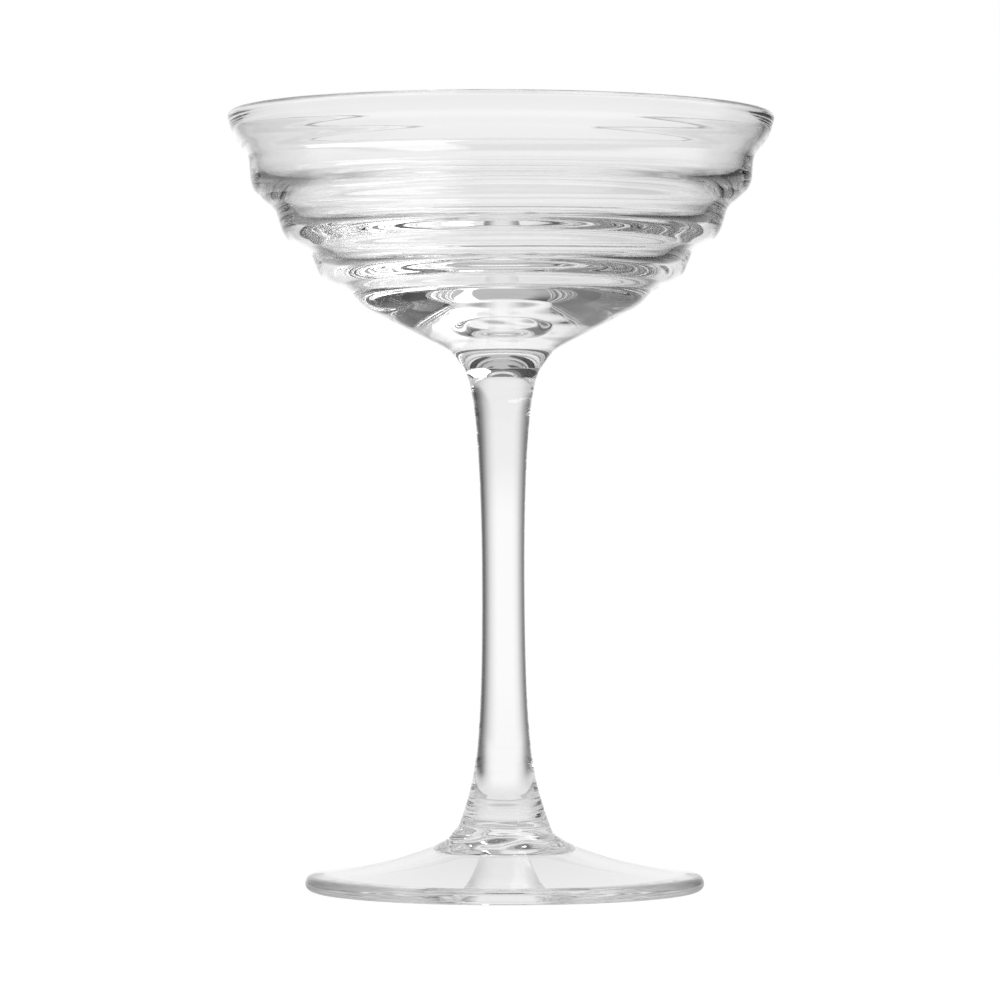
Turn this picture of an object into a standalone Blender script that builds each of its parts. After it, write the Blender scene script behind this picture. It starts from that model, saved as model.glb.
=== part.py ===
"""Stemmed coupe glass: a bowl stepped in rings, a drawn stem and a round foot, welded end to end.

Units are metres and +Z is up. The origin is the middle of the plane that the foot rests on.
"""

import math

import bpy
from mathutils import Vector

# Foot: a disc of even thickness with a round edge, rising in a low sweep to the hub under the stem
FOOT_RADIUS = 0.0383
FOOT_EDGE_ROUND = 0.0015
FOOT_SLOPE_DEG = 6.1
FOOT_SKIRT_REACH = 0.0160
HUB_HEIGHT = 0.01075
HUB_FLARE_DEG = 46.0
HUB_FLARE_REACH = 0.0030
FOOT_THICKNESS = 0.0033
REST_RING_WIDTH = 0.0030
KICK_RADIUS = 0.0120

# Stem: solid glass, narrowest at its waist and flared to the weld at each end
STEM_LENGTH = 0.08895
STEM_TOP_RADIUS = 0.0073
STEM_WAIST_RADIUS = 0.0041
STEM_BASE_RADIUS = 0.0093
STEM_WAIST_RISE = 0.0487
STEM_TOP_FLARE_RUN = 0.0027
STEM_TOP_FLARE_DROP = 0.0045
STEM_WAIST_REACH_UP = 0.0137
STEM_WAIST_REACH_DOWN = 0.0340
STEM_BASE_FLARE_RUN = 0.0037
STEM_BASE_FLARE_RISE = 0.0098

# Bowl's outer wall, from the weld up: each stretch has a run outwards, a rise and the fillet it ends in
NECK_RUN = 0.0027
NECK_RISE = 0.00365
NECK_FILLET = 0.0046
CONE_RUN = 0.0164
CONE_RISE = 0.0084
CONE_FILLET = 0.0070
LOW_BAND_RUN = 0.0025
LOW_BAND_RISE = 0.00275
LOW_BAND_FILLET = 0.0025
LOW_LEDGE_RUN = 0.0058
LOW_LEDGE_RISE = 0.0023
LOW_LEDGE_FILLET = 0.0055
THIRD_BAND_RUN = 0.0019
THIRD_BAND_RISE = 0.0053
THIRD_BAND_FILLET = 0.0018
THIRD_LEDGE_RUN = 0.0051
THIRD_LEDGE_RISE = 0.0027
THIRD_LEDGE_FILLET = 0.0053
SECOND_BAND_RUN = 0.0017
SECOND_BAND_RISE = 0.0057
SECOND_BAND_FILLET = 0.0027
SECOND_LEDGE_RUN = 0.0046
SECOND_LEDGE_RISE = 0.0038
SECOND_LEDGE_FILLET = 0.0046
FIRST_BAND_RUN = 0.0004
FIRST_BAND_RISE = 0.0059
FIRST_BAND_FILLET = 0.0030
FLARE_RUN = 0.0031
FLARE_RISE = 0.0042
FLARE_FILLET = 0.0070
LIP_RUN = 0.0009
LIP_RISE = 0.0035

# Bowl's inside: solid glass up to a level floor, and a wall that thins from the low ledge to the second one
WALL_BASE = 0.0050
WALL_LIP = 0.0015
FLOOR_THICKNESS = 0.0157
FLOOR_ROUND = 0.0012

# Clearance left where the pieces are welded
WELD_GAP = 0.0003

# Facets
TURN_STEPS = 48
FILLET_STEPS = 3
LIP_STEPS = 6
CURVE_STEPS = 10
EDGE_STEPS = 6
AXIS_MERGE = 0.00001

# Glass
GLASS_COLOUR = (0.97, 0.98, 0.98, 1.0)
GLASS_ROUGHNESS = 0.02
GLASS_INDEX = 1.52


def bezier(start, start_handle, end_handle, end, steps):
    """Points of a cubic curve, both ends included."""
    points = []
    for step in range(steps + 1):
        t = step / steps
        s = 1.0 - t
        near = s**3 * start + 3 * s * s * t * start_handle
        far = 3 * s * t * t * end_handle + t**3 * end
        points.append(near + far)
    return points


def arc(centre, radius, from_angle, to_angle, steps):
    """Points of a circular arc, both ends included."""
    points = []
    for step in range(steps + 1):
        angle = from_angle + (to_angle - from_angle) * step / steps
        points.append(centre + radius * Vector((math.cos(angle), math.sin(angle))))
    return points


def left_of(direction):
    return Vector((-direction.y, direction.x))


def fillet(before, corner, after, radius):
    """The arc that rounds one corner, no longer than half of either side."""
    back = (before - corner).normalized()
    ahead = (after - corner).normalized()
    half_angle = back.angle(ahead) / 2
    longest = min((before - corner).length, (after - corner).length) / 2
    reach = min(radius / math.tan(half_angle), longest)
    if reach < AXIS_MERGE:
        return [corner]
    radius = reach * math.tan(half_angle)
    centre = corner + (back + ahead).normalized() * radius / math.sin(half_angle)
    start = corner + back * reach - centre
    turn = start.angle_signed(corner + ahead * reach - centre)
    from_angle = math.atan2(start.y, start.x)
    # angle_signed counts clockwise turns as positive
    return arc(centre, radius, from_angle, from_angle - turn, FILLET_STEPS)


def rounded(corners, radii):
    """An open outline through the corners, with every inner corner rounded by its own radius."""
    points = [corners[0]]
    for index, radius in enumerate(radii, start=1):
        points += fillet(corners[index - 1], corners[index], corners[index + 1], radius)
    points.append(corners[-1])
    return points


def offset_corner(before, corner, after, distance):
    """The corner moved to the left of the path, so that both its sides keep that distance."""
    first = left_of((corner - before).normalized())
    second = left_of((after - corner).normalized())
    middle = (first + second).normalized()
    return corner + middle * distance / middle.dot(first)


def height_at(path, radius):
    """The height at one radius on a path that runs towards the axis."""
    for outer, inner in zip(path, path[1:]):
        if inner.x <= radius <= outer.x:
            return outer.lerp(inner, (outer.x - radius) / (outer.x - inner.x)).y
    return path[-1].y


def bowl_stretches():
    return [
        (NECK_RUN, NECK_RISE, NECK_FILLET),
        (CONE_RUN, CONE_RISE, CONE_FILLET),
        (LOW_BAND_RUN, LOW_BAND_RISE, LOW_BAND_FILLET),
        (LOW_LEDGE_RUN, LOW_LEDGE_RISE, LOW_LEDGE_FILLET),
        (THIRD_BAND_RUN, THIRD_BAND_RISE, THIRD_BAND_FILLET),
        (THIRD_LEDGE_RUN, THIRD_LEDGE_RISE, THIRD_LEDGE_FILLET),
        (SECOND_BAND_RUN, SECOND_BAND_RISE, SECOND_BAND_FILLET),
        (SECOND_LEDGE_RUN, SECOND_LEDGE_RISE, SECOND_LEDGE_FILLET),
        (FIRST_BAND_RUN, FIRST_BAND_RISE, FIRST_BAND_FILLET),
        (FLARE_RUN, FLARE_RISE, FLARE_FILLET),
    ]


def wall_at(height):
    """The wall's thickness at a height above the weld, thinning evenly between two of the ledges."""
    thick_height = NECK_RISE + CONE_RISE + LOW_BAND_RISE + LOW_LEDGE_RISE
    fall = THIRD_BAND_RISE + THIRD_LEDGE_RISE + SECOND_BAND_RISE + SECOND_LEDGE_RISE
    share = min(max((height - thick_height) / fall, 0.0), 1.0)
    return WALL_BASE + (WALL_LIP - WALL_BASE) * share


def bowl_profile():
    """The bowl's half section from its lip down the outside, over the weld face and up the inside."""
    outer = [Vector((STEM_TOP_RADIUS, 0.0))]
    radii = []
    for run, rise, radius in bowl_stretches():
        outer.append(outer[-1] + Vector((run, rise)))
        radii.append(radius)
    outer.append(outer[-1] + Vector((LIP_RUN, LIP_RISE)))

    # The inside follows the rings. A corner that turns up gets tighter, one that turns out wider.
    inner = []
    inner_radii = []
    for index in range(1, len(outer) - 1):
        before, corner, after = outer[index - 1 : index + 2]
        wall = wall_at(corner.y)
        inner.append(offset_corner(before, corner, after, wall))
        turns_left = (corner - before).cross(after - corner) > 0
        inner_radii.append(max(radii[index - 1] + (-wall if turns_left else wall), 0.0))
    lip_way = (outer[-1] - outer[-2]).normalized()
    lip_inside = outer[-1] + left_of(lip_way) * WALL_LIP

    # The floor is level, and ends where the inside of the wall comes down to it.
    first = next(index for index, corner in enumerate(inner) if corner.y > FLOOR_THICKNESS)
    low, high = inner[first - 1], inner[first]
    floor_edge = low.lerp(high, (FLOOR_THICKNESS - low.y) / (high.y - low.y))
    floor = [Vector((0.0, FLOOR_THICKNESS)), floor_edge]
    inside = rounded(floor + inner[first:] + [lip_inside], [FLOOR_ROUND] + inner_radii[first:])

    outside = rounded(outer, radii)
    lip_angle = math.atan2(-left_of(lip_way).y, -left_of(lip_way).x)
    lip_middle = (outer[-1] + lip_inside) / 2
    lip = arc(lip_middle, WALL_LIP / 2, lip_angle + math.pi, lip_angle, LIP_STEPS)
    return inside + lip[1:-1] + outside[::-1] + [Vector((0.0, 0.0))]


def stem_profile():
    """The stem's half section from its top weld face down to the foot."""
    top = Vector((STEM_TOP_RADIUS, STEM_LENGTH))
    waist = Vector((STEM_WAIST_RADIUS, STEM_WAIST_RISE))
    base = Vector((STEM_BASE_RADIUS, 0.0))
    upper = bezier(
        top,
        top - Vector((STEM_TOP_FLARE_RUN, STEM_TOP_FLARE_DROP)),
        waist + Vector((0.0, STEM_WAIST_REACH_UP)),
        waist,
        CURVE_STEPS,
    )
    lower = bezier(
        waist,
        waist - Vector((0.0, STEM_WAIST_REACH_DOWN)),
        base + Vector((-STEM_BASE_FLARE_RUN, STEM_BASE_FLARE_RISE)),
        base,
        CURVE_STEPS,
    )
    return [Vector((0.0, STEM_LENGTH))] + upper + lower[1:] + [Vector((0.0, 0.0))]


def foot_profile():
    """The foot's half section from the hub out over the edge and back under the hollow."""
    slope = math.radians(FOOT_SLOPE_DEG)
    flare = math.radians(HUB_FLARE_DEG)
    edge_middle = Vector((FOOT_RADIUS - FOOT_EDGE_ROUND, FOOT_EDGE_ROUND))
    edge = arc(edge_middle, FOOT_EDGE_ROUND, math.pi / 2 - slope, -math.pi / 2, EDGE_STEPS)
    hub = Vector((STEM_BASE_RADIUS, HUB_HEIGHT))
    hub_handle = hub + HUB_FLARE_REACH * Vector((math.cos(flare), -math.sin(flare)))
    skirt_handle = edge[0] + FOOT_SKIRT_REACH * Vector((-math.cos(slope), math.sin(slope)))
    top = bezier(hub, hub_handle, skirt_handle, edge[0], CURVE_STEPS)

    # The underside keeps the foot's thickness from the rest ring in to the flat ceiling under the hub.
    rest_edge = Vector((edge_middle.x - REST_RING_WIDTH, 0.0))
    under = []
    for index in range(len(top) - 1, 0, -1):
        middle = (top[index] + top[index - 1]) / 2
        inwards = (top[index - 1] - top[index]).normalized()
        under.append(middle + left_of(inwards) * FOOT_THICKNESS)
    hollow = [point for point in under if KICK_RADIUS < point.x < rest_edge.x and point.y > 0.0]
    ceiling = height_at(under, KICK_RADIUS)
    hollow += [Vector((KICK_RADIUS, ceiling)), Vector((0.0, ceiling))]
    return [Vector((0.0, HUB_HEIGHT))] + top + edge[1:] + [rest_edge] + hollow


def glass_material(name):
    material = bpy.data.materials.new(name)
    material.use_nodes = True
    shader = material.node_tree.nodes["Principled BSDF"]
    shader.inputs["Base Color"].default_value = GLASS_COLOUR
    shader.inputs["Roughness"].default_value = GLASS_ROUGHNESS
    shader.inputs["IOR"].default_value = GLASS_INDEX
    shader.inputs["Transmission Weight"].default_value = 1.0
    return material


def turned_piece(name, profile, height, collection, parent):
    """One piece of glass: its half section turned a full circle about the glass's axis."""
    mesh = bpy.data.meshes.new(name)
    points = [(point.x, 0.0, point.y) for point in profile]
    edges = [(index, index + 1) for index in range(len(points) - 1)]
    mesh.from_pydata(points, edges, [])
    mesh.materials.append(glass_material(name + "_glass"))

    piece = bpy.data.objects.new(name, mesh)
    collection.objects.link(piece)
    piece.parent = parent
    piece.location.z = height
    turn = piece.modifiers.new("Turn", "SCREW")
    turn.axis = "Z"
    turn.angle = math.tau
    turn.steps = TURN_STEPS
    turn.render_steps = TURN_STEPS
    turn.use_merge_vertices = True
    turn.merge_threshold = AXIS_MERGE
    turn.use_smooth_shade = True


def build_glass():
    for old in list(bpy.data.objects):
        bpy.data.objects.remove(old, do_unlink=True)
    collection = bpy.data.collections.new("coupe_glass")
    bpy.context.scene.collection.children.link(collection)
    stand = bpy.data.objects.new("coupe_glass_stand", None)
    collection.objects.link(stand)

    stem_height = HUB_HEIGHT + WELD_GAP
    bowl_height = stem_height + STEM_LENGTH + WELD_GAP
    turned_piece("foot", foot_profile(), 0.0, collection, stand)
    turned_piece("stem", stem_profile(), stem_height, collection, stand)
    turned_piece("bowl", bowl_profile(), bowl_height, collection, stand)


build_glass()
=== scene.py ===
import math

import bpy
import numpy as np
from mathutils import Matrix


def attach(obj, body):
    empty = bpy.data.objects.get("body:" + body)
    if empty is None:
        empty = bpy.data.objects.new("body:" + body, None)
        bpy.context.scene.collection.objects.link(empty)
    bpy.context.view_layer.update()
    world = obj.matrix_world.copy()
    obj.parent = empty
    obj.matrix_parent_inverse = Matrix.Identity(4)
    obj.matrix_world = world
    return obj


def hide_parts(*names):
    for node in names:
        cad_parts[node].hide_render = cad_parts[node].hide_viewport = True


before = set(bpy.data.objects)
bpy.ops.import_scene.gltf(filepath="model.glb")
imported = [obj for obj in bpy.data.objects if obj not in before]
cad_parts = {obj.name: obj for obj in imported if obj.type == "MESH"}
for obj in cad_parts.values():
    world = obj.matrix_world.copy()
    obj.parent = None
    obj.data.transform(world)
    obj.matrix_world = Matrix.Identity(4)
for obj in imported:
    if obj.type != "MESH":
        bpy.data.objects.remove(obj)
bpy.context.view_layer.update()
scene = bpy.context.scene
print("frame loaded:", sorted(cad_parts))

turnSteps = 208  # points round the axis
capSteps = 3  # rings across a weld face
sharpDeg = 50  # edges that turn more than this stay crisp
nearAxis = 1e-6  # keeps divisions clear of the axis


# outlines: half sections in (radius, height), metres

# level steps from value to value, each a smooth cubic between two marks
def smoothSteps(at, marks, values):
    level = np.full(np.shape(at), float(values[0]))
    for low, high, before, after in zip(marks, marks[1:], values, values[1:]):
        share = np.clip((at - low) / (high - low), 0.0, 1.0)
        level = level + (after - before) * share * share * (3 - 2 * share)
    return level


# evenly spaced points along a path: length along the path is the parameter, and doubled points drop out
def respace(path, spacing, least=1e-9):
    gaps = np.hypot(*np.diff(path, axis=0).T)
    keep = np.r_[True, gaps > least]
    along = np.r_[0.0, np.cumsum(gaps)][keep]
    marks = np.linspace(0.0, along[-1], max(2, int(math.ceil(along[-1] / spacing)) + 1))
    return np.column_stack([np.interp(marks, along, path[keep, k]) for k in range(2)])


# straight stretches joined by arcs: each arc touches both sides at radius / tan(half the corner)
def roundCorners(corners, radii, perArc=60):
    rows = [corners[:1]]
    for before, corner, after, radius in zip(corners[:-2], corners[1:-1], corners[2:], radii):
        back, ahead = before - corner, after - corner
        backLength, aheadLength = np.hypot(*back), np.hypot(*ahead)
        back, ahead = back / backLength, ahead / aheadLength
        half = math.acos(float(np.clip(back @ ahead, -1.0, 1.0))) / 2
        reach = min(radius / math.tan(half), backLength / 2, aheadLength / 2)
        middle = back + ahead
        centre = corner + middle / np.hypot(*middle) * reach / math.cos(half)
        start, end = corner + back * reach - centre, corner + ahead * reach - centre
        turn = math.atan2(start[0] * end[1] - start[1] * end[0], start @ end)
        angles = math.atan2(start[1], start[0]) + np.linspace(0.0, turn, perArc)
        rows.append(centre + np.hypot(*start) * np.column_stack([np.cos(angles), np.sin(angles)]))
    rows.append(corners[-1:])
    return np.concatenate(rows)


# a bell-weighted mean along the path, with each end carried on by its own point mirror so it stays put
def ease(path, width, spacing):
    reach = int(math.ceil(3 * width / spacing))
    bell = np.exp(-0.5 * (np.arange(-reach, reach + 1) * spacing / width) ** 2)
    bell /= bell.sum()
    before = 2 * path[0] - path[reach:0:-1]
    after = 2 * path[-1] - path[-2:-reach - 2:-1]
    padded = np.concatenate([before, path, after])
    return np.column_stack([np.convolve(padded[:, k], bell, mode="valid") for k in range(2)])


# cubic curve between two points with a handle at each
def handleCurve(start, startHandle, endHandle, end, count=160):
    t = np.linspace(0.0, 1.0, count)[:, None]
    s = 1.0 - t
    return s**3 * start + 3 * s * s * t * startHandle + 3 * s * t * t * endHandle + t**3 * end


# part of a circle: the centre plus the radius times cosine and sine of even angles
def arcPoints(centre, radius, fromAngle, toAngle, count=40):
    angles = np.linspace(fromAngle, toAngle, count)
    return np.asarray(centre) + radius * np.column_stack([np.cos(angles), np.sin(angles)])


# the path moved along its own normals to the left by a thickness,
# less the points that fall too near another part of it
def standOff(path, thickness, clearShare=0.985):
    way = np.gradient(path, axis=0)
    way /= np.hypot(*way.T)[:, None]
    moved = path + thickness[:, None] * np.column_stack([-way[:, 1], way[:, 0]])
    nearest = np.hypot(*(moved[:, None, :] - path[None, :, :]).transpose(2, 0, 1))
    clear = np.all(nearest > thickness[None, :] * clearShare, axis=1)
    return moved[clear]


bowlSpec = {
    "weldHeight": 0.1000,
    "weldRadius": 0.0073,
    # the outer wall from the weld up: run outwards, rise, fillet that it ends in
    "stretches": (
        (0.0027, 0.00365, 0.0046),  # neck
        (0.0164, 0.0084, 0.0070),  # cone
        (0.0025, 0.00275, 0.0025),  # lowest band
        (0.0058, 0.0023, 0.0055),  # ledge
        (0.0019, 0.0053, 0.0018),  # third band
        (0.0051, 0.0027, 0.0053),  # ledge
        (0.0017, 0.0057, 0.0027),  # second band
        (0.0046, 0.0038, 0.0046),  # ledge
        (0.0004, 0.0059, 0.0030),  # first band
        (0.0031, 0.0042, 0.0070),  # flare under the lip
    ),
    "lip": (0.0009, 0.0031),
    # thick at the low ledge, thin above, a bead at the lip
    "wallHeights": (0.1140, 0.1450, 0.1465, 0.1482),
    "walls": (0.0042, 0.0015, 0.0015, 0.0021),
    "floorThickness": 0.0161,
    "floorRound": 0.0050,
    "buttonRadius": 0.0061,
    "buttonRamp": 0.0028,
    "buttonRise": 0.0017,
    "outerEase": 0.0005,
    "innerEase": 0.0008,
    "spacing": 0.00034,
    "finePerStep": 6,
    "lipSpacing": 0.00012,
}


# outer corners add up the stretches; the inner wall stands off from the finished outer one,
# turns into a level floor by an arc, and half a cosine wave lifts the button
def bowlOutline(spec):
    steps = np.array([(run, rise) for run, rise, fillet in spec["stretches"]] + [spec["lip"]])
    fillets = np.array([fillet for run, rise, fillet in spec["stretches"]])
    start = np.array([spec["weldRadius"], spec["weldHeight"]])
    outer = np.concatenate([start[None], start + np.cumsum(steps, axis=0)])
    fine = spec["spacing"] / spec["finePerStep"]
    outside = ease(respace(roundCorners(outer, fillets), fine), spec["outerEase"], fine)

    wall = smoothSteps(outside[:, 1], spec["wallHeights"], spec["walls"])
    inside = standOff(outside, wall)
    floorHeight = spec["weldHeight"] + spec["floorThickness"]
    inside = inside[inside[:, 1] > floorHeight]
    turnAt = np.array([inside[0, 0], floorHeight])
    rest = inside[np.hypot(*(inside - turnAt).T) > spec["floorRound"]]
    corner = roundCorners(np.array([[0.0, floorHeight], turnAt, rest[0]]), [spec["floorRound"]])
    inside = ease(respace(np.concatenate([corner, rest[1:]]), fine), spec["innerEase"], fine)
    step = np.clip((inside[:, 0] - spec["buttonRadius"]) / spec["buttonRamp"] + 0.5, 0.0, 1.0)
    inside[:, 1] += spec["buttonRise"] * 0.5 * (1 + np.cos(math.pi * step))
    inside[0, 0] = 0.0

    lipInside = inside[-1]
    across = outside[-1] - lipInside
    middle = (outside[-1] + lipInside) / 2
    lipAngle = math.atan2(across[1], across[0])
    lip = arcPoints(middle, np.hypot(*across) / 2, lipAngle + math.pi, lipAngle)
    cap = np.array([[0.0, spec["weldHeight"]], [spec["weldRadius"], spec["weldHeight"]]])
    return [
        respace(inside, spec["spacing"]),
        respace(lip, spec["lipSpacing"]),
        respace(outside, spec["spacing"])[::-1],
        respace(cap, spec["weldRadius"] / capSteps)[::-1],
    ]


stemSpec = {
    "baseHeight": 0.01105,
    "length": 0.08895,
    "topRadius": 0.0073,
    "waistRadius": 0.0041,
    "baseRadius": 0.0093,
    "waistRise": 0.0487,
    "topHandle": (0.0027, 0.0045),
    "waistUp": 0.0137,
    "waistDown": 0.0340,
    "baseHandle": (0.0037, 0.0098),
    "spacing": 0.0004,
}


# two cubic curves that meet upright at the waist, with a level weld face at each end
def stemOutline(spec):
    top = np.array([spec["topRadius"], spec["baseHeight"] + spec["length"]])
    waist = np.array([spec["waistRadius"], spec["baseHeight"] + spec["waistRise"]])
    base = np.array([spec["baseRadius"], spec["baseHeight"]])
    topHandle = top - np.array(spec["topHandle"])
    baseHandle = base + np.array([-spec["baseHandle"][0], spec["baseHandle"][1]])
    upper = handleCurve(top, topHandle, waist + np.array([0, spec["waistUp"]]), waist)
    lower = handleCurve(waist, waist - np.array([0, spec["waistDown"]]), baseHandle, base)
    return [
        respace(np.array([[0.0, top[1]], top]), spec["topRadius"] / capSteps),
        respace(np.concatenate([upper, lower[1:]]), spec["spacing"]),
        respace(np.array([base, [0.0, base[1]]]), spec["baseRadius"] / capSteps),
    ]


footSpec = {
    "radius": 0.0383,
    "edgeRound": 0.0015,
    "slopeDeg": 6.1,
    "skirtReach": 0.0160,
    "hubHeight": 0.01105,
    "flareDeg": 46.0,
    "flareReach": 0.0030,
    "thickness": 0.0033,
    "hollowFlat": 0.0120,  # radius of the level top of the hollow
    "hollowEase": 0.0008,
    "spacing": 0.0004,
}


# a cubic curve from the hub out to a half-round edge; the hollow stands off from it down to the resting ring
def footOutline(spec):
    slope, flare = math.radians(spec["slopeDeg"]), math.radians(spec["flareDeg"])
    edgeMiddle = np.array([spec["radius"] - spec["edgeRound"], spec["edgeRound"]])
    edge = arcPoints(edgeMiddle, spec["edgeRound"], math.pi / 2 - slope, -math.pi / 2)
    hub = np.array([stemSpec["baseRadius"], spec["hubHeight"]])
    hubHandle = hub + spec["flareReach"] * np.array([math.cos(flare), -math.sin(flare)])
    skirtHandle = edge[0] + spec["skirtReach"] * np.array([-math.cos(slope), math.sin(slope)])
    top = handleCurve(hub, hubHandle, skirtHandle, edge[0])

    inward = respace(top, spec["spacing"])[::-1]
    under = standOff(inward, np.full(len(inward), spec["thickness"]))
    under = under[(under[:, 0] > spec["hollowFlat"]) & (under[:, 1] > 0)]
    restInside = np.array([np.interp(0.0, [under[0, 1], under[1, 1]], under[:2, 0]), 0.0])
    hollow = np.concatenate([edge[-1:], restInside[None], under, [[0.0, under[-1, 1]]]])
    hollow = ease(respace(hollow, spec["spacing"]), spec["hollowEase"], spec["spacing"])[1:]
    hollow[:, 1] = np.maximum(hollow[:, 1], 0.0)
    hollow[-1, 0] = 0.0
    return [
        respace(np.array([[0.0, spec["hubHeight"]], hub]), hub[0] / capSteps),
        respace(np.concatenate([top, edge[1:]]), spec["spacing"]),
        respace(np.concatenate([edge[-1:], hollow]), spec["spacing"]),
    ]


# surfaces: the outline turned about the axis

handSpec = {
    "lean": -0.0049,  # shift aside for each unit of height
    "heights": (0.098, 0.106, 0.133, 0.149),  # where the rings' slope across x changes
    "slopes": (0.0, 0.0065, 0.0050, -0.0033),
    # bead of the weld on the left of the hub
    "bead": {"height": 0.0111, "half": 0.0007, "reach": 0.0006},
    # ripples at the foot of the stem and waves in the bowl's first band, with the heights they fade over
    "ripples": {"heights": (0.0104, 0.0120, 0.0150, 0.0172), "length": 0.0016, "depth": 0.00003,
                "tilt": 0.03},
    "waves": {"heights": (0.1355, 0.1385, 0.1450, 0.1475), "length": 0.0026, "depth": 0.000006,
              "sway": 0.8, "turn": 0.6},
    # the uneven floor of the bowl and top of the foot's hollow
    "uneven": (
        {"radius": 0.0125, "heights": (0.1140, 0.1155, 0.1180, 0.1190), "length": 0.0080, "depth": 0.00006},
        {"radius": 0.0125, "heights": (0.0040, 0.0060, 0.0080, 0.0088), "length": 0.0085, "depth": 0.00035},
    ),
    "unevenFade": 1.5,
    "unevenWays": ((0.8, 0.6, 1.0), (-0.7, 1.0, 0.0)),  # share of x, share of y and phase of each sine
}


# 1 inside a span, fading in over the first pair of marks and out over the second
def within(at, marks):
    return smoothSteps(at, marks, (0.0, 1.0, 1.0, 0.0))


# marks of hot work: a bell-shaped bead on the left, sine ripples and waves on the sides,
# two crossed sines on the floor and in the hollow
def workMarks(points):
    x, y, z = points.T
    reach = np.hypot(x, y)
    bead, ripples, waves = handSpec["bead"], handSpec["ripples"], handSpec["waves"]
    leftward = np.clip(-x / np.maximum(reach, nearAxis), 0.0, 1.0) ** 2
    bell = np.exp(-((z - bead["height"]) / bead["half"]) ** 2)
    outward = bead["reach"] * leftward * bell * (reach / stemSpec["baseRadius"]) ** 4
    rippled = np.sin(math.tau * (z + ripples["tilt"] * x) / ripples["length"])
    outward += ripples["depth"] * within(z, ripples["heights"]) * rippled
    sway = waves["sway"] * np.sin(np.arctan2(y, x) + waves["turn"])
    outward += waves["depth"] * within(z, waves["heights"]) * np.sin(math.tau * z / waves["length"] + sway)
    upward = np.zeros(len(z))
    fade = handSpec["unevenFade"]
    for patch in handSpec["uneven"]:
        share = within(z, patch["heights"]) * np.clip(fade - fade * reach / patch["radius"], 0.0, 1.0)
        crossed = sum(
            np.sin(math.tau * (xShare * x + yShare * y) / patch["length"] + phase)
            for xShare, yShare, phase in handSpec["unevenWays"]
        )
        upward += patch["depth"] * share * crossed
    scale = 1.0 + outward / np.maximum(reach, nearAxis)
    return np.column_stack([x * scale, y * scale, z + upward])


# hand-made glass stands a little off true: it shifts aside with height, and its rings slope across x
def settle(points):
    points = workMarks(points)
    slope = smoothSteps(points[:, 2], handSpec["heights"], handSpec["slopes"])
    aside = handSpec["lean"] * points[:, 2]
    return points + np.column_stack([aside, np.zeros(len(points)), slope * points[:, 0]])


# grid of outline point by angle; the two ends on the axis become single poles
def turnOutline(name, runs, capRuns, materials):
    outline = np.concatenate([runs[0]] + [run[1:] for run in runs[1:]])
    runOf = np.concatenate([np.full(len(run) - 1, k) for k, run in enumerate(runs)])
    ring = outline[1:-1]
    angles = np.arange(turnSteps) / turnSteps * math.tau
    x = ring[:, :1] * np.cos(angles)
    y = ring[:, :1] * np.sin(angles)
    z = np.repeat(ring[:, 1:], turnSteps, axis=1)
    rows = len(ring)
    points = settle(np.concatenate([
        np.stack([x, y, z], axis=-1).reshape(-1, 3),
        [[0.0, 0.0, outline[0, 1]], [0.0, 0.0, outline[-1, 1]]],
    ]))
    here = np.arange(rows * turnSteps).reshape(rows, turnSteps)
    there = np.roll(here, -1, axis=1)
    quads = np.stack([here[:-1], here[1:], there[1:], there[:-1]], axis=-1).reshape(-1, 4)
    firstPole, lastPole = rows * turnSteps, rows * turnSteps + 1
    firstFan = np.column_stack([np.full(turnSteps, firstPole), here[0], there[0]])
    lastFan = np.column_stack([np.full(turnSteps, lastPole), there[-1], here[-1]])

    corners = np.concatenate([quads.ravel(), firstFan.ravel(), lastFan.ravel()])
    sizes = np.concatenate([np.full(len(quads), 4), np.full(2 * turnSteps, 3)])
    starts = np.r_[0, np.cumsum(sizes)[:-1]]
    faceRuns = np.concatenate([
        np.repeat(runOf[1:-1], turnSteps),
        np.full(turnSteps, runOf[0]),
        np.full(turnSteps, runOf[-1]),
    ])
    mesh = bpy.data.meshes.new(name)
    mesh.vertices.add(len(points))
    mesh.vertices.foreach_set("co", points.ravel().astype(np.float32))
    mesh.loops.add(len(corners))
    mesh.loops.foreach_set("vertex_index", corners.astype(np.int32))
    mesh.polygons.add(len(sizes))
    mesh.polygons.foreach_set("loop_start", starts.astype(np.int32))
    mesh.polygons.foreach_set("material_index", np.isin(faceRuns, capRuns).astype(np.int32))
    for material in materials:
        mesh.materials.append(material)
    mesh.update(calc_edges=True)
    mesh.validate()
    mesh.shade_smooth()
    mesh.set_sharp_from_angle(angle=math.radians(sharpDeg))
    piece = bpy.data.objects.new(name, mesh)
    scene.collection.objects.link(piece)
    print(name, "made with", len(sizes), "faces")
    return piece


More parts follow.
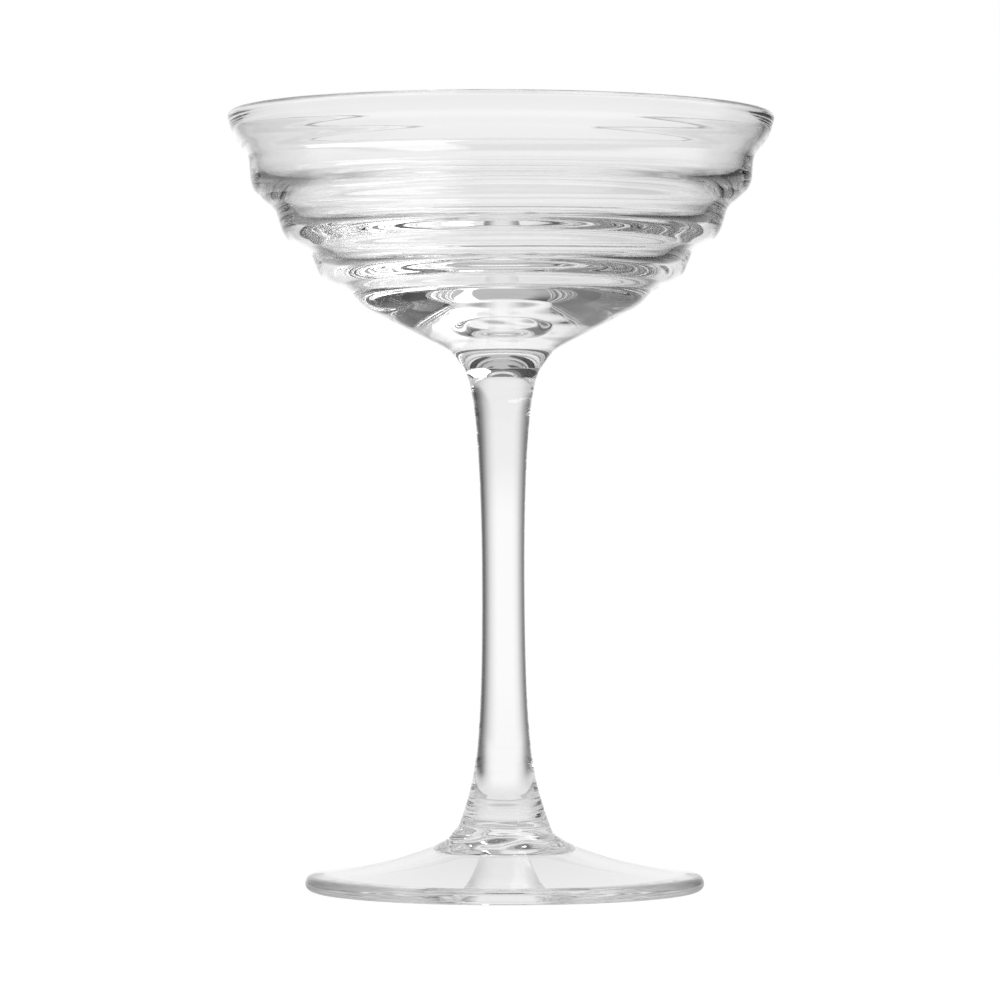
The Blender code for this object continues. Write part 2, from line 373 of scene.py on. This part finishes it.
# short calls for the nodes of one tree: a value may be a number or another node's output
class Wiring:
    def __init__(self, tree):
        self.tree = tree
        tree.nodes.clear()

    def node(self, kind):
        return self.tree.nodes.new(kind)

    def put(self, value, socket):
        if isinstance(value, bpy.types.NodeSocket):
            self.tree.links.new(value, socket)
        else:
            socket.default_value = value

    def math(self, op, *values):
        node = self.node("ShaderNodeMath")
        node.operation = op
        for k, value in enumerate(values):
            self.put(value, node.inputs[k])
        return node.outputs[0]

    def dot(self, vector, way):
        node = self.node("ShaderNodeVectorMath")
        node.operation = "DOT_PRODUCT"
        self.put(vector, node.inputs[0])
        self.put(tuple(way), node.inputs[1])
        return node.outputs["Value"]

    def length(self, vector):
        node = self.node("ShaderNodeVectorMath")
        node.operation = "LENGTH"
        self.put(vector, node.inputs[0])
        return node.outputs["Value"]

    # x, y and z of a vector
    def split(self, vector):
        node = self.node("ShaderNodeSeparateXYZ")
        self.put(vector, node.inputs[0])
        return node.outputs["X"], node.outputs["Y"], node.outputs["Z"]

    # degrees round from straight behind the glass, right positive
    def azimuth(self, x, y):
        return self.math("DEGREES", self.math("ARCTAN2", x, y))

    # smooth step from 0 to 1 between two values
    def fade(self, value, start, end):
        node = self.node("ShaderNodeMapRange")
        node.interpolation_type = "SMOOTHSTEP"
        self.put(value, node.inputs["Value"])
        self.put(start, node.inputs["From Min"])
        self.put(end, node.inputs["From Max"])
        return node.outputs["Result"]

    # 1 inside a span, fading in over the first pair of values and out over the second
    def span(self, value, marks):
        rise = self.fade(value, marks[0], marks[1])
        fall = self.fade(value, marks[2], marks[3])
        return self.math("SUBTRACT", rise, fall)

    def blend(self, share, first, second):
        node = self.node("ShaderNodeMix")
        self.put(share, node.inputs["Factor"])
        self.put(first, node.inputs["A"])
        self.put(second, node.inputs["B"])
        return node.outputs["Result"]

    # straight lines between (mark, level) pairs
    def profile(self, value, pairs):
        level = pairs[0][1]
        for (low, before), (high, after) in zip(pairs, pairs[1:]):
            node = self.node("ShaderNodeMapRange")
            self.put(value, node.inputs["Value"])
            self.put(low, node.inputs["From Min"])
            self.put(high, node.inputs["From Max"])
            self.put(after - before, node.inputs["To Max"])
            level = self.math("ADD", level, node.outputs["Result"])
        return level

    def glow(self, strength):
        node = self.node("ShaderNodeEmission")
        self.put(strength, node.inputs["Strength"])
        return node.outputs[0]

    def clear(self):
        return self.node("ShaderNodeBsdfTransparent").outputs[0]

    def mixed(self, share, first, second):
        node = self.node("ShaderNodeMixShader")
        self.put(share, node.inputs["Fac"])
        self.put(first, node.inputs[1])
        self.put(second, node.inputs[2])
        return node.outputs[0]

    # 1 for a ray that comes by way of the glass
    def throughGlass(self):
        path = self.node("ShaderNodeLightPath")
        return self.math("MAXIMUM", path.outputs["Is Glossy Ray"], path.outputs["Is Transmission Ray"])

    def surface(self, shader):
        out = self.node("ShaderNodeOutputMaterial")
        self.put(shader, out.inputs["Surface"])


def wiredMaterial(name):
    material = bpy.data.materials.new(name)
    material.use_nodes = True
    return material, Wiring(material.node_tree)


# finishes

glassSpec = {
    "colour": (0.937, 0.937, 0.937, 1.0),
    "index": 1.52,
    "waveScale": 110.0,
    "waveDetail": 1.0,
    "waveDepth": 0.000006,
    "hazeScale": 60.0,
    "hazeDetail": 3.0,
    "hazeSpan": (0.45, 0.80),  # noise levels where the haze starts and is full
    "haze": 0.02,
}


# clear glass with the faint waves of hot working in its surface and a little handling haze
def glassFinish(name, spec):
    material = bpy.data.materials.new(name)
    material.use_nodes = True
    tree = material.node_tree
    shader = tree.nodes["Principled BSDF"]
    shader.inputs["Base Color"].default_value = spec["colour"]
    shader.inputs["IOR"].default_value = spec["index"]
    shader.inputs["Transmission Weight"].default_value = 1.0
    coords = tree.nodes.new("ShaderNodeTexCoord")
    wave = tree.nodes.new("ShaderNodeTexNoise")
    wave.inputs["Scale"].default_value = spec["waveScale"]
    wave.inputs["Detail"].default_value = spec["waveDetail"]
    bump = tree.nodes.new("ShaderNodeBump")
    bump.inputs["Strength"].default_value = 1.0
    bump.inputs["Distance"].default_value = spec["waveDepth"]
    haze = tree.nodes.new("ShaderNodeTexNoise")
    haze.inputs["Scale"].default_value = spec["hazeScale"]
    haze.inputs["Detail"].default_value = spec["hazeDetail"]
    level = tree.nodes.new("ShaderNodeMapRange")
    level.inputs["From Min"].default_value = spec["hazeSpan"][0]
    level.inputs["From Max"].default_value = spec["hazeSpan"][1]
    level.inputs["To Max"].default_value = spec["haze"]
    for start, end in (
        (coords.outputs["Object"], wave.inputs["Vector"]),
        (wave.outputs["Fac"], bump.inputs["Height"]),
        (bump.outputs["Normal"], shader.inputs["Normal"]),
        (coords.outputs["Object"], haze.inputs["Vector"]),
        (haze.outputs["Fac"], level.inputs["Value"]),
        (level.outputs["Result"], shader.inputs["Roughness"]),
    ):
        tree.links.new(start, end)
    return material


# the weld faces inside the glass pass light straight on
def weldFinish():
    material, w = wiredMaterial("fused_weld")
    w.surface(w.clear())
    return material


weld = weldFinish()
bowlFinishes = [glassFinish("bowlGlass", glassSpec), weld]
stemFinishes = [glassFinish("stemGlass", glassSpec), weld]
footFinishes = [glassFinish("footGlass", glassSpec), weld]
# the third value of each call lists the runs of the outline that are weld faces
bowl = turnOutline("bowl_glass", bowlOutline(bowlSpec), (3,), bowlFinishes)
stem = turnOutline("stem_glass", stemOutline(stemSpec), (0, 2), stemFinishes)
foot = turnOutline("foot_glass", footOutline(footSpec), (0,), footFinishes)
for piece, node in ((bowl, "bowl"), (stem, "stem"), (foot, "foot")):
    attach(piece, "root")
    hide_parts(node)


# studio: a pale cove behind, a dimmer room in front, a dark ceiling and a light box overhead on the right
# azimuth is in degrees from straight behind the glass, right positive; elevation in degrees up

studioSpec = {
    # elevation and level of the cove behind and of the room in front
    "cove": (
        (-90, 0.80), (-45, 0.88), (-20, 0.97), (-9, 1.03), (-3, 1.06),
        (1.5, 1.06), (4, 0.95), (12, 0.93), (20, 0.92), (35, 0.86),
    ),
    "room": ((-60, 0.75), (-20, 0.60), (0, 0.70), (20, 0.56)),
    "turnToRoom": (90, 120),
    # each panel fades in and out over two azimuths and two elevations each way
    "panels": (
        # walls, right and left
        {"level": 0.62, "azimuth": (14, 50, 100, 120), "elevation": (3, 9, 91, 92)},
        {"level": 0.72, "azimuth": (-120, -100, -50, -16), "elevation": (3, 9, 91, 92)},
        # far table, right and left
        {"level": 0.38, "azimuth": (1, 12, 102, 122), "elevation": (-80, -50, -18, -9)},
        {"level": 0.44, "azimuth": (-122, -102, -12, -1), "elevation": (-80, -50, -18, -9)},
        # ceiling: back, right, front and left
        {"level": 0.50, "azimuth": (-60, -40, 40, 60), "elevation": (36, 50, 91, 92)},
        {"level": 0.06, "azimuth": (40, 60, 112, 128), "elevation": (24, 36, 91, 92)},
        {"level": 0.20, "azimuth": (112, 128, 232, 248), "elevation": (24, 36, 91, 92)},
        {"level": 0.06, "azimuth": (-128, -112, -50, -30), "elevation": (24, 36, 91, 92)},
    ),
    # the light box: the way to its middle, its half sizes at one unit off and its soft edge
    "box": {
        "level": 3.0,
        "azimuth": 94,
        "elevation": 58,
        "tilt": -3,
        "half": (0.68, 0.27),
        "soft": 0.03,
        "leastAhead": 0.05,
    },
}


def buildWorld(spec):
    world = bpy.data.worlds.new("studio")
    scene.world = world
    world.use_nodes = True
    w = Wiring(world.node_tree)
    way = w.node("ShaderNodeTexCoord").outputs["Generated"]
    x, y, z = w.split(way)
    azimuth = w.azimuth(x, y)
    elevation = w.math("DEGREES", w.math("ARCSINE", z))
    fullTurn = w.math("ADD", azimuth, w.math("MULTIPLY", w.math("LESS_THAN", azimuth, 0.0), 360.0))

    inFront = w.fade(w.math("ABSOLUTE", azimuth), *spec["turnToRoom"])
    level = w.blend(inFront, w.profile(elevation, spec["cove"]), w.profile(elevation, spec["room"]))
    for panel in spec["panels"]:
        around = fullTurn if panel["azimuth"][3] > 180 else azimuth
        acrossShare = w.span(around, panel["azimuth"])
        share = w.math("MULTIPLY", acrossShare, w.span(elevation, panel["elevation"]))
        level = w.blend(share, level, panel["level"])

    # the box is a rectangle on the plane that faces the glass: across and up over ahead
    box = spec["box"]
    turn = Matrix.Rotation(math.radians(-box["azimuth"]), 3, "Z")
    turn = turn @ Matrix.Rotation(math.radians(box["elevation"]), 3, "X")
    turn = turn @ Matrix.Rotation(math.radians(box["tilt"]), 3, "Y")
    across, ahead, up = (w.dot(way, turn.col[k]) for k in range(3))
    share = w.math("GREATER_THAN", ahead, box["leastAhead"])
    for reach, half in zip((across, up), box["half"]):
        offset = w.math("ABSOLUTE", w.math("DIVIDE", reach, ahead))
        share = w.math("MULTIPLY", share, w.fade(offset, half + box["soft"], half - box["soft"]))
    level = w.blend(share, level, box["level"])

    path = w.node("ShaderNodeLightPath")
    background = w.node("ShaderNodeBackground")
    w.put((1.0, 1.0, 1.0, 1.0), background.inputs["Color"])
    w.put(w.blend(path.outputs["Is Camera Ray"], level, 1.0), background.inputs["Strength"])
    out = w.node("ShaderNodeOutputWorld")
    w.put(background.outputs[0], out.inputs["Surface"])
    print("studio made with", len(spec["panels"]), "panels")


# one flat face through the given corners
def flatSheet(name, corners, material):
    mesh = bpy.data.meshes.new(name)
    mesh.from_pydata(corners, [], [list(range(len(corners)))])
    mesh.materials.append(material)
    sheet = bpy.data.objects.new(name, mesh)
    scene.collection.objects.link(sheet)
    return sheet


floorSpec = {
    "radius": 0.42,
    "sides": 96,
    "glow": 0.90,
    "albedo": 0.22,
    # levels that the glass shows: painted shade near the glass, the table a little farther off and a darker
    # painted contact shadow where the foot touches
    "shade": 0.84,
    "shadeReach": (0.040, 0.075),
    "table": 1.03,
    "tableReach": (0.140, 0.200),
    "tableTurn": (10, 38),  # the table fades out over these azimuths to each side
    "contactShadow": 0.58,
    "contactShadowRing": (0.0335, 0.0350, 0.0400, 0.0430),
}


# a pale disc that glows to the camera and keeps the shadow; to the glass it shows painted shade and a
# painted contact shadow near the foot; beyond the near table the glass sees through it
def buildFloor(spec):
    material, w = wiredMaterial("paleFloor")
    matt = w.node("ShaderNodeBsdfDiffuse")
    w.put((spec["albedo"], spec["albedo"], spec["albedo"], 1.0), matt.inputs["Color"])
    pale = w.node("ShaderNodeAddShader")
    w.put(matt.outputs[0], pale.inputs[0])
    w.put(w.glow(spec["glow"]), pale.inputs[1])

    place = w.node("ShaderNodeTexCoord").outputs["Object"]
    x, y, z = w.split(place)
    distance = w.length(place)
    shadeEnd = w.fade(distance, *spec["shadeReach"])
    tableEnd = w.fade(distance, *spec["tableReach"])
    sideways = w.fade(w.math("ABSOLUTE", w.azimuth(x, y)), *spec["tableTurn"])
    # painted shade: a dimmer glow near the glass, seen only through the glass, stands in for the glass's
    # shadow on the floor
    level = w.blend(shadeEnd, spec["shade"], spec["table"])
    # painted contact shadow: a darker ring of glow under the foot's edge, seen only through the glass
    level = w.blend(w.span(distance, spec["contactShadowRing"]), level, spec["contactShadow"])
    seen = w.mixed(w.blend(sideways, tableEnd, shadeEnd), w.glow(level), w.clear())
    w.surface(w.mixed(w.throughGlass(), pale.outputs[0], seen))

    angles = np.arange(spec["sides"]) / spec["sides"] * math.tau
    rim = spec["radius"] * np.column_stack([np.cos(angles), np.sin(angles), np.zeros(spec["sides"])])
    floor = flatSheet("floor", rim.tolist(), material)
    print("floor made,", spec["radius"], "m in radius")


# dark screens beside the glass: distance aside, azimuths seen from the axis and heights they fade over
screenSpec = {
    "right": {
        "aside": 0.10,
        "level": 0.05,
        "azimuth": (8, 58, 90, 104),
        "heights": (-0.055, -0.030, 0.145, 0.170),
    },
    "left": {
        "aside": -0.12,
        "level": 0.18,
        "azimuth": (-106, -92, -61, -15),
        "heights": (-0.055, -0.030, 0.130, 0.155),
    },
}
screenCorners = ((-0.1, -0.2), (0.9, -0.2), (0.9, 0.2), (-0.1, 0.2))  # in y and z


# an upright sheet parallel to the photograph's view, seen only in the glass, clear where it fades
def buildScreen(side, spec):
    name = side + "Screen"
    material, w = wiredMaterial(name)
    x, y, z = w.split(w.node("ShaderNodeTexCoord").outputs["Object"])
    share = w.math("MULTIPLY", w.span(w.azimuth(x, y), spec["azimuth"]), w.span(z, spec["heights"]))
    share = w.math("MULTIPLY", share, w.throughGlass())
    w.surface(w.mixed(share, w.clear(), w.glow(spec["level"])))
    screen = flatSheet(name, [(spec["aside"], along, up) for along, up in screenCorners], material)
    print(side, "screen made")


buildWorld(studioSpec)
buildFloor(floorSpec)
for side, spec in screenSpec.items():
    buildScreen(side, spec)


# camera: level with the glass's middle, as in the photograph

cameraSpec = {
    "distance": 0.912,
    "height": 0.0708,
    "aside": -0.00092,
    "pitchDeg": 0.253,
    "lens": 171.0,
    "sensor": 36.0,
}


def buildCamera(spec):
    data = bpy.data.cameras.new("view")
    data.sensor_width = spec["sensor"]
    data.lens = spec["lens"]
    camera = bpy.data.objects.new("view", data)
    scene.collection.objects.link(camera)
    turn = Matrix.Rotation(math.radians(90 + spec["pitchDeg"]), 4, "X")
    camera.matrix_world = Matrix.Translation((spec["aside"], -spec["distance"], spec["height"])) @ turn
    scene.camera = camera
    print("camera placed", spec["distance"], "m off")


buildCamera(cameraSpec)

scene.view_settings.view_transform = "Standard"
# light meets many faces on its way through the bowl
scene.cycles.max_bounces = 32
scene.cycles.transmission_bounces = 32
scene.cycles.glossy_bounces = 24
scene.cycles.transparent_max_bounces = 16
